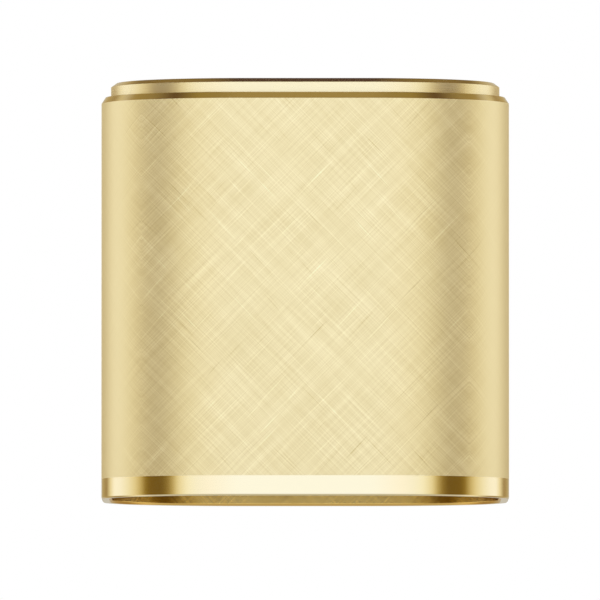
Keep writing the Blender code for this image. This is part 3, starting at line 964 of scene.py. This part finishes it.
def make_cup():
    """Turned outline of the cup: filleted foot, thin wall, flat flange with rolled edges."""
    outline = soften([
        (2 * MM, CUP_LOW, 0),
        (CUP_RADIUS, CUP_LOW, CUP_FOOT_RADIUS),
        (CUP_RADIUS, CUP_TOP - FLANGE_THICKNESS, 0.3 * MM),
        (FLANGE_RADIUS, CUP_TOP - FLANGE_THICKNESS, 0.3 * MM),
        (FLANGE_RADIUS, CUP_TOP, 0.35 * MM),
        (CUP_RADIUS - CUP_WALL, CUP_TOP, 0.5 * MM),
        (CUP_RADIUS - CUP_WALL, CUP_LOW + CUP_WALL, CUP_FOOT_RADIUS - CUP_WALL),
        (2 * MM, CUP_LOW + CUP_WALL, 0),
    ], steps=7)
    mesh = skin("cup", round_rows(outline))
    add_piece("cup", mesh, "cup", [drawn_brass], ["inner_cup"])


# ---------------------------------------------------------------- brass wool

RIBBON_WIDTH = 0.75 * MM
RIBBON_THICKNESS = 0.09 * MM
STRAND_STEPS = 230
WOOL_REACH = WOOL_RADIUS + 0.25 * MM
CURL_MM = (1.3, 2.5)
TURNS = (11, 16)
CORE_INSET = 2.6 * MM
WOOL_LAYERS = [                    # name, place, ribbons, depth under the wool's surface
    ("wool_top_outer", "top", 48, 0.0),
    ("wool_top_inner", "top", 44, 1.6 * MM),
    ("wool_side_outer", "side", 72, 0.0),
    ("wool_side_middle", "side", 60, 1.0 * MM),
    ("wool_side_inner", "side", 44, 2.2 * MM),
    ("wool_bottom", "bottom", 40, 0.2 * MM),
]


def wandering(random, count, length):
    """Flat paths that wander: a heading made of two slow sine waves, added up in steps."""
    t = np.linspace(0, 1, STRAND_STEPS)[None]
    start = random.uniform(0, TAU, (count, 1))
    heading = start
    for waves in (0.7, 1.9):
        swing = random.uniform(0.4, 1.5, (count, 1)) / waves
        heading = heading + swing * np.sin(TAU * waves * t + random.uniform(0, TAU, (count, 1)))
    step = length / STRAND_STEPS
    return np.cumsum(np.cos(heading) * step, axis=1), np.cumsum(np.sin(heading) * step, axis=1)


def wool_surface(radius):
    """Height of the wool's top at a radius: flat, with a smooth dimple in the middle."""
    share = np.clip((DIMPLE_RADIUS + 1.5 * MM - radius) / (6.5 * MM), 0, 1)
    return WOOL_TOP - DIMPLE_DEPTH * share * share * (3 - 2 * share)


def lying_paths(random, count, curl, layer, top):
    """Strands that lie on the wool's top or bottom: wandering paths whose distance from
    the middle is bent back inside the cup, at the surface's height less the curl."""
    x, y = wandering(random, count, random.uniform(28, 46, (count, 1)) * MM)
    far = 19 * MM * np.sqrt(random.uniform(0, 1, (count, 1)))
    bearing = random.uniform(0, TAU, (count, 1))
    x = x - x.mean(1, keepdims=True) + far * np.cos(bearing)
    y = y - y.mean(1, keepdims=True) + far * np.sin(bearing)
    radius = np.hypot(x, y)
    limit = WOOL_REACH - curl
    kept = limit * np.tanh(radius / limit) ** 0.9
    x, y = x * kept / radius, y * kept / radius
    if top:
        rounding = 1.6 * MM * np.clip((kept - limit + 2 * MM) / (2 * MM), 0, 1) ** 2
        z = wool_surface(kept) - curl - layer - rounding
        normal = np.stack([np.zeros_like(z), np.zeros_like(z), np.ones_like(z)], axis=2)
    else:
        z = WOOL_LOW + curl + layer + np.zeros_like(x)
        normal = np.stack([np.zeros_like(z), np.zeros_like(z), -np.ones_like(z)], axis=2)
    return np.stack([x, y, z], axis=2), normal


def standing_paths(random, count, curl, layer):
    """Strands round the wool's side: wandering paths wrapped on a cylinder, their heights
    bent back between the wool's foot and top."""
    along, up = wandering(random, count, random.uniform(30, 52, (count, 1)) * MM)
    radius = WOOL_REACH - curl - layer
    bearing = random.uniform(0, TAU, (count, 1)) + along / radius
    middle, half = (WOOL_LOW + WOOL_TOP) / 2, (WOOL_TOP - WOOL_LOW) / 2 - curl - 0.2 * MM
    z = random.uniform(-1.05, 1.05, (count, 1)) * half + up - up.mean(1, keepdims=True)
    z = middle + half * np.tanh(1.15 * z / half) / math.tanh(1.4)
    out = np.stack([np.cos(bearing), np.sin(bearing), np.zeros_like(bearing)], axis=2)
    end = np.clip((np.abs(z - middle) - half + 2 * MM) / (2 * MM), 0, 1) ** 2
    centre = out * (radius - 1.2 * MM * end)[..., None]
    centre[..., 2] = np.clip(z, middle - half, middle + half)
    return centre, out


def unit(vectors):
    """Vectors scaled to length 1."""
    return vectors / np.maximum(np.linalg.norm(vectors, axis=-1, keepdims=True), 1e-12)


def curl_ribbons(random, centre, normal, curl, turns):
    """Curled ribbons: centre + curl x (cos a, sin a) across the path, where a counts the
    turns, and a flat four-cornered section that is wide along the path."""
    count, steps = centre.shape[:2]
    t = np.linspace(0, 1, steps)[None]
    forward = unit(np.gradient(centre, axis=1))
    side = unit(np.cross(forward, normal))
    upward = np.cross(side, forward)
    ease = 0.05 * np.sin(TAU * 1.3 * t + random.uniform(0, TAU, (count, 1)))
    angle = TAU * turns * (t + ease) + random.uniform(0, TAU, (count, 1))
    breadth = curl * (1 + 0.22 * np.sin(TAU * 2.1 * t + random.uniform(0, TAU, (count, 1)))
                      + 0.12 * np.sin(TAU * 5.3 * t + random.uniform(0, TAU, (count, 1)))) / 1.2
    out = np.cos(angle)[..., None] * upward + np.sin(angle)[..., None] * side
    middle = centre + breadth[..., None] * out
    run = unit(np.gradient(middle, axis=1))
    across = unit(np.cross(run, out))
    out = np.cross(across, run)
    twist = 0.7 * np.sin(TAU * 1.7 * t + random.uniform(0, TAU, (count, 1)))[..., None]
    wide = np.cos(twist) * across + np.sin(twist) * out
    thick = np.cos(twist) * out - np.sin(twist) * across
    narrowing = np.clip(np.minimum(t, 1 - t) * 14, 0.12, 1)[..., None]
    half_width = RIBBON_WIDTH / 2 * random.uniform(0.7, 1.15, (count, 1, 1)) * narrowing
    half_thick = RIBBON_THICKNESS / 2
    corners = [(1, 1), (-1, 1), (-1, -1), (1, -1)]
    section = [middle + wide * half_width * a + thick * half_thick * b for a, b in corners]
    points = np.stack(section, axis=2)
    radius = np.linalg.norm(points[..., :2], axis=-1)
    squeeze = np.minimum(1, WOOL_REACH / np.maximum(radius, 1e-9))
    points[..., :2] *= squeeze[..., None]
    points[..., 2] = np.clip(points[..., 2], WOOL_LOW, WOOL_TOP + 0.3 * MM)
    return points


def ribbon_mesh(name, points):
    """Mesh of many ribbons, each a closed four-sided tube with end caps. The UV map holds
    the distance along a ribbon, and the distance across plus 20 mm for each ribbon."""
    count, steps = points.shape[:2]
    strand = np.arange(count)[:, None, None] * steps * 4
    step = np.arange(steps - 1)[None, :, None] * 4
    corner = np.arange(4)[None, None]
    following = (corner + 1) % 4
    quad = np.stack([strand + step + corner, strand + step + following,
                     strand + step + 4 + following, strand + step + 4 + corner], axis=3)
    first = np.arange(count)[:, None] * steps * 4 + np.array([3, 2, 1, 0])
    last = np.arange(count)[:, None] * steps * 4 + (steps - 1) * 4 + np.arange(4)
    faces = np.concatenate([quad.reshape(-1, 4), first, last])
    mesh = bpy.data.meshes.new(name)
    mesh.from_pydata(points.reshape(-1, 3).tolist(), [], faces.tolist())
    hops = np.diff(points[:, :, 0], axis=1, prepend=points[:, :1, 0])
    length = np.cumsum(np.linalg.norm(hops, axis=2), axis=1)
    over = np.array([0, RIBBON_WIDTH, RIBBON_WIDTH + RIBBON_THICKNESS, 2 * RIBBON_WIDTH])
    u = np.broadcast_to(length[:, :, None], (count, steps, 4)).ravel()
    v = (np.arange(count)[:, None, None] * 20 * MM + np.broadcast_to(over, (count, steps, 4))).ravel()
    layer = mesh.uv_layers.new(name="surface")
    layer.data.foreach_set("uv", np.stack([u, v], axis=1)[faces.ravel()].astype(np.float32).ravel())
    outward_first(mesh)
    return mesh


def make_wool():
    """Layers of loose curled ribbon round a core painted dark as the shade in the wool's depths, whose
    turned rows are stretched from the middle by 1 + 0.02 x a product of two sine waves."""
    random = np.random.default_rng(11)
    for name, place, count, depth in WOOL_LAYERS:
        curl = random.uniform(*CURL_MM, (count, 1)) * MM
        layer = depth + random.uniform(0, 0.9, (count, 1)) * MM
        if place == "side":
            centre, normal = standing_paths(random, count, curl, layer)
        else:
            centre, normal = lying_paths(random, count, curl, layer, place == "top")
        turns = random.uniform(*TURNS, (count, 1))
        points = curl_ribbons(random, centre, normal, curl, turns)
        add_piece(name, ribbon_mesh(name, points), "wool", [wool_brass], [], 50)
    reach = WOOL_RADIUS - CORE_INSET
    outline = soften([
        (1 * MM, WOOL_LOW + 2 * MM, 0),
        (reach, WOOL_LOW + 2 * MM, 3 * MM),
        (reach, WOOL_TOP - 2.4 * MM, 3 * MM),
        (DIMPLE_RADIUS + 2.5 * MM, WOOL_TOP - 2.4 * MM, 2 * MM),
        (DIMPLE_RADIUS - 2.5 * MM, WOOL_TOP - DIMPLE_DEPTH - 2.2 * MM, 2 * MM),
        (1 * MM, WOOL_TOP - DIMPLE_DEPTH - 2.4 * MM, 0),
    ], steps=8)
    rows = round_rows(outline, 120)
    lumps = np.sin(rows[..., 0] * 900 + rows[..., 2] * 500) * np.sin(rows[..., 1] * 800 - rows[..., 2] * 650)
    rows = rows * np.array([1, 1, 0]) * (1 + 0.02 * lumps)[..., None] + rows * np.array([0, 0, 1])
    mesh = skin("wool_core", rows)
    add_piece("wool_core", mesh, "wool", [wool_core_shade], ["brass_wool"])


# ---------------------------------------------------------------- studio

FLOOR_REACH = 0.4
FLOOR_FADE = (0.16, 0.37)          # distances between which the floor fades out
FLOOR_DROP = 0.05 * MM
FLOOR_STEPS = 96
FLOOR_COLOUR = (0.86, 0.86, 0.85)


def make_floor():
    """Pale bench top under the rim, seen only from above and fading out at its border.
    Reflections look past it to the studio."""
    made, graph, shader = new_material("floor", 0.9, 0.0)
    where = object_position(graph)
    grain = graph.effect(mottle, Position=where, Size=1.5 * MM)
    paint(graph, shader, FLOOR_COLOUR, [(grain, 0.006)])
    radius = graph.vector("LENGTH", where, output="Value")
    fading = graph.span(radius, *FLOOR_FADE, kind="SMOOTHSTEP")
    below = graph.node("ShaderNodeNewGeometry").outputs["Backfacing"]
    mirrored = graph.node("ShaderNodeLightPath").outputs["Is Glossy Ray"]
    unseen = graph.math("MAXIMUM", graph.math("MAXIMUM", below, mirrored), fading)
    clear = graph.node("ShaderNodeBsdfTransparent").outputs[0]
    both = graph.node("ShaderNodeMixShader")
    graph.feed(both.inputs[0], unseen)
    graph.feed(both.inputs[1], shader.outputs[0])
    graph.feed(both.inputs[2], clear)
    graph.feed(made.node_tree.nodes["Material Output"].inputs["Surface"], both.outputs[0])
    angles = round_angles(FLOOR_STEPS)
    level = np.full(FLOOR_STEPS, -FLOOR_DROP)
    rim = np.stack([FLOOR_REACH * np.cos(angles), FLOOR_REACH * np.sin(angles), level], axis=1)
    mesh = bpy.data.meshes.new("floor")
    mesh.from_pydata(rim.tolist(), [], [list(range(FLOOR_STEPS))])
    mesh.materials.append(made)
    place("floor", mesh)


# (degrees round from the front, linear colour): two soft boxes with dark gaps between
STUDIO_STOPS = [
    (0, (1.07, 1.13, 1.25)),
    (26, (1.07, 1.06, 1.06)),
    (35, (1.02, 1.02, 0.99)),
    (44, (1.01, 0.99, 0.85)),
    (53, (0.85, 0.75, 0.46)),
    (57, (0.56, 0.43, 0.16)),
    (62, (0.28, 0.18, 0.03)),
    (68, (0.16, 0.09, 0.01)),
    (74, (0.17, 0.10, 0.01)),
    (81, (0.18, 0.10, 0.01)),
    (86, (0.26, 0.16, 0.01)),
    (91, (0.58, 0.44, 0.17)),
    (98, (0.81, 0.70, 0.41)),
    (108, (0.94, 0.89, 0.70)),
    (119, (1.02, 1.00, 0.94)),
    (129, (1.05, 1.03, 0.97)),
    (138, (0.85, 0.74, 0.45)),
    (147, (0.34, 0.23, 0.09)),
    (162, (0.48, 0.36, 0.16)),
    (180, (0.62, 0.58, 0.50)),
]
# The same for the ceiling, from about 30 degrees up
CEILING_STOPS = [
    (0, (0.35, 0.25, 0.08)),
    (30, (0.30, 0.21, 0.06)),
    (60, (0.29, 0.20, 0.04)),
    (85, (0.09, 0.04, 0.01)),
    (105, (0.27, 0.19, 0.06)),
    (130, (0.36, 0.25, 0.07)),
    (180, (0.04, 0.01, 0.01)),
]
ZENITH = (0.92, 0.88, 0.78)
UNDERNEATH = (0.60, 0.57, 0.48)
# Degrees up from the horizon between which one part of the studio passes into the next
CEILING_STARTS = (22, 38)
ZENITH_STARTS = (77, 84)
UNDERNEATH_STARTS = (-40, -52)


def studio_ramp(graph, share, stops):
    """Colour by the angle round from the front, as a share of half a turn."""
    ramp = graph.node("ShaderNodeValToRGB", {"Fac": share})
    elements = ramp.color_ramp.elements
    elements.remove(elements[-1])
    elements[0].position = 0
    elements[0].color = (*stops[0][1], 1)
    for degrees, colour in stops[1:]:
        elements.new(degrees / 180).color = (*colour, 1)
    return ramp.outputs[0]


def make_world():
    """Studio seen in reflections: soft boxes in front and at the sides, dark gaps, a dark
    ceiling with a lamp at its top. Matt surfaces get even white light, and the backdrop
    is white."""
    world = bpy.data.worlds.new("studio")
    bpy.context.scene.world = world
    world.use_nodes = True
    world.node_tree.nodes.clear()
    graph = Graph(world.node_tree)
    where = graph.node("ShaderNodeTexCoord").outputs["Generated"]
    level = graph.vector("NORMALIZE", graph.vector("MULTIPLY", where, (1, 1, 0)))
    toward = graph.vector("DOT_PRODUCT", level, (0, -1, 0), output="Value")
    share = graph.math("DIVIDE", graph.math("ARCCOSINE", toward), math.pi)
    height = graph.node("ShaderNodeSeparateXYZ", {"Vector": where}).outputs["Z"]
    elevation = graph.math("DEGREES", graph.math("ARCSINE", height))
    room = studio_ramp(graph, share, STUDIO_STOPS)
    ceiling = studio_ramp(graph, share, CEILING_STOPS)
    seen = graph.mix(graph.span(elevation, *CEILING_STARTS, kind="SMOOTHSTEP"), room, ceiling)
    seen = graph.mix(graph.span(elevation, *ZENITH_STARTS, kind="SMOOTHSTEP"), seen, (*ZENITH, 1))
    seen = graph.mix(graph.span(elevation, *UNDERNEATH_STARTS, kind="SMOOTHSTEP"), seen, (*UNDERNEATH, 1))
    mirrored = graph.node("ShaderNodeLightPath").outputs["Is Glossy Ray"]
    sky = graph.node("ShaderNodeBackground", {"Color": graph.mix(mirrored, (1, 1, 1, 1), seen)})
    graph.node("ShaderNodeOutputWorld", {"Surface": sky.outputs[0]})


LENS_MM = 1341.6
SENSOR_MM = 36
CAMERA_PLACE = (-0.77 * MM, -3.3, -0.0897)
CAMERA_TILT = math.radians(92.0715)


def make_camera():
    """Long lens a little below the rim, looking slightly up."""
    camera = bpy.data.cameras.new("camera")
    camera.lens = LENS_MM
    camera.sensor_width = SENSOR_MM
    camera.clip_start = 0.05
    holder = place("camera", camera)
    holder.location = CAMERA_PLACE
    holder.rotation_euler = (CAMERA_TILT, 0, 0)
    bpy.context.scene.camera = holder


make_sleeve()
make_collar()
make_rings()
make_plate()
make_posts()
make_screws()
make_cup()
make_wool()
make_floor()
make_world()
make_camera()
bpy.context.scene.view_settings.view_transform = "Standard"
bpy.context.scene.view_settings.look = "None"
